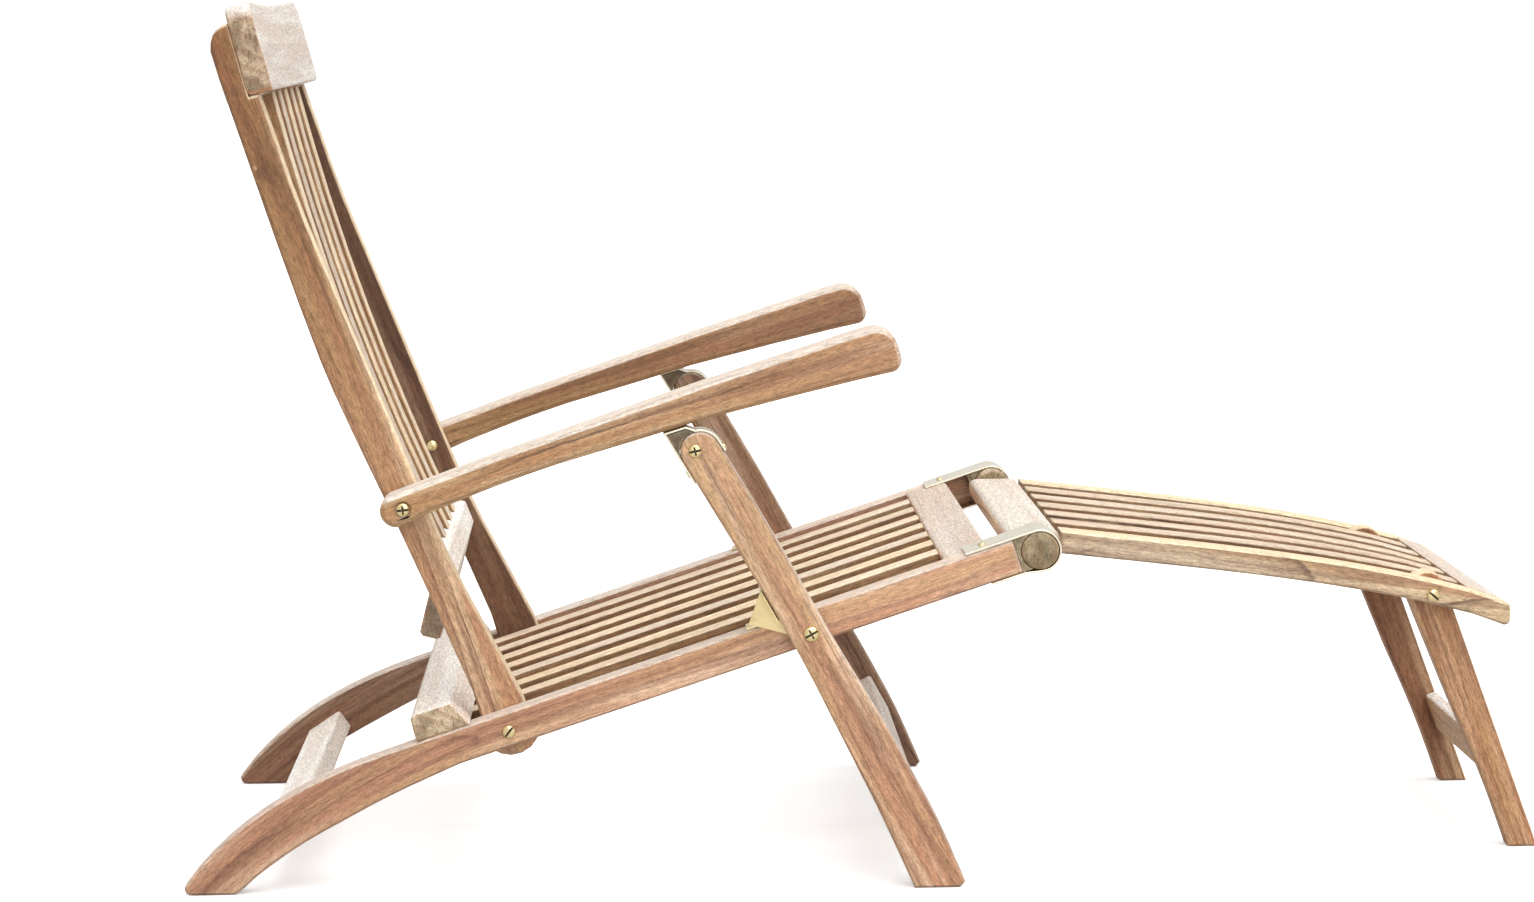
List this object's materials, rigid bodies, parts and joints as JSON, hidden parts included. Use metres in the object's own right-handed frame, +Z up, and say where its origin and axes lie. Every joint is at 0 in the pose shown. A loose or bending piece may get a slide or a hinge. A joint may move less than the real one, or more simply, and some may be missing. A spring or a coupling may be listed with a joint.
{
  "type": "steamer deck chair",
  "caption": "Folding slatted wooden steamer chair with reclining back, flat arms, crossed front legs and a hinged footrest on its own folding legs.",
  "frame": {"origin": "on the floor, under the middle of the chair's bounding box", "axes": "+X from the back towards the footrest, +Y towards the chair's left side, +Z up"},
  "size_m": [1.5078, 0.6126, 0.9594],
  "materials": {
    "teak_frame": "oiled teak, satin",
    "teak_slat": "oiled teak, satin",
    "brass_strap": "polished sheet brass",
    "brass_bolt": "polished brass"
  },
  "bodies": {
    "seat": {"side_rail_left": "teak_frame", "side_rail_right": "teak_frame", "hook_strap_left": "brass_strap", "hook_strap_right": "brass_strap", "leg_stop_left": "brass_strap", "leg_stop_right": "brass_strap", "leg_pivot_bolt_left": "brass_bolt", "leg_pivot_bolt_right": "brass_bolt", "rear_stretcher": "teak_frame", "seat_rear_board": "teak_slat", "seat_rear_cross_rail": "teak_frame", "seat_front_board": "teak_slat", "seat_slat_1": "teak_slat", "seat_slat_2": "teak_slat", "seat_slat_3": "teak_slat", "seat_slat_4": "teak_slat", "seat_slat_5": "teak_slat", "seat_slat_6": "teak_slat", "seat_slat_7": "teak_slat"},
    "back_bolts": {"back_pivot_bolt_left": "brass_bolt", "back_pivot_bolt_right": "brass_bolt"},
    "back": {"back_stile_left": "teak_frame", "back_stile_right": "teak_frame", "headrest": "teak_frame", "lower_back_board": "teak_slat", "back_slat_1": "teak_slat", "back_slat_2": "teak_slat", "back_slat_3": "teak_slat", "back_slat_4": "teak_slat", "back_slat_5": "teak_slat"},
    "arm_bolts": {"arm_bolt_left": "brass_bolt", "arm_bolt_right": "brass_bolt"},
    "arms": {"arm_left": "teak_frame", "arm_right": "teak_frame"},
    "front_legs": {"front_leg_left": "teak_frame", "front_leg_right": "teak_frame", "catch_strap_left": "brass_strap", "catch_strap_right": "brass_strap", "catch_bolt_left": "brass_bolt", "catch_bolt_right": "brass_bolt", "leg_stretcher": "teak_frame"},
    "footrest": {"footrest_pivot_board": "teak_slat", "footrest_end_board": "teak_slat", "footrest_dowel_left": "teak_frame", "footrest_dowel_right": "teak_frame", "footrest_rail_left": "teak_frame", "footrest_rail_right": "teak_frame", "footrest_leg_bolt_left": "brass_bolt", "footrest_leg_bolt_right": "brass_bolt", "footrest_slat_1": "teak_slat", "footrest_slat_2": "teak_slat", "footrest_slat_3": "teak_slat", "footrest_slat_4": "teak_slat", "footrest_slat_5": "teak_slat"},
    "footrest_legs": {"footrest_leg_left": "teak_frame", "footrest_leg_right": "teak_frame", "footrest_stretcher": "teak_frame"}
  },
  "joints": [
    {"name": "fold", "type": "hinge", "parent": "seat", "child": "back_bolts", "pos_m": [-0.40141, 0, 0.175], "axis": [0, 1, 0], "range_deg": [0, 80]},
    {"name": "recline", "type": "hinge", "parent": "back_bolts", "child": "back", "pos_m": [-0.40141, 0, 0.175], "axis": [0, 1, 0], "range_deg": [-18, 0]},
    {"name": "arm_recline", "type": "hinge", "parent": "back", "child": "arm_bolts", "pos_m": [-0.50838, 0, 0.42202], "axis": [0, 1, 0], "range_deg": [-1, 15]},
    {"name": "arm_fold", "type": "hinge", "parent": "arm_bolts", "child": "arms", "pos_m": [-0.50838, 0, 0.42202], "axis": [0, 1, 0], "range_deg": [-96.5, 0]},
    {"name": "leg_fold", "type": "hinge", "parent": "seat", "child": "front_legs", "pos_m": [-0.07549, 0, 0.2819], "axis": [0, 1, 0], "range_deg": [0, 88.5]},
    {"name": "footrest_lift", "type": "hinge", "parent": "seat", "child": "footrest", "pos_m": [0.17441, 0, 0.36387], "axis": [0, 1, 0], "range_deg": [-20, 90]},
    {"name": "footrest_leg_fold", "type": "hinge", "parent": "footrest", "child": "footrest_legs", "pos_m": [0.62141, 0, 0.29584], "axis": [0, 1, 0], "range_deg": [0, 116]}
  ],
  "couplings": [
    {"joint": "leg_fold", "follows": "fold", "ratio": 1.1},
    {"joint": "arm_fold", "follows": "fold", "ratio": -1.2},
    {"joint": "arm_recline", "follows": "recline", "ratio": -0.78}
  ]
}
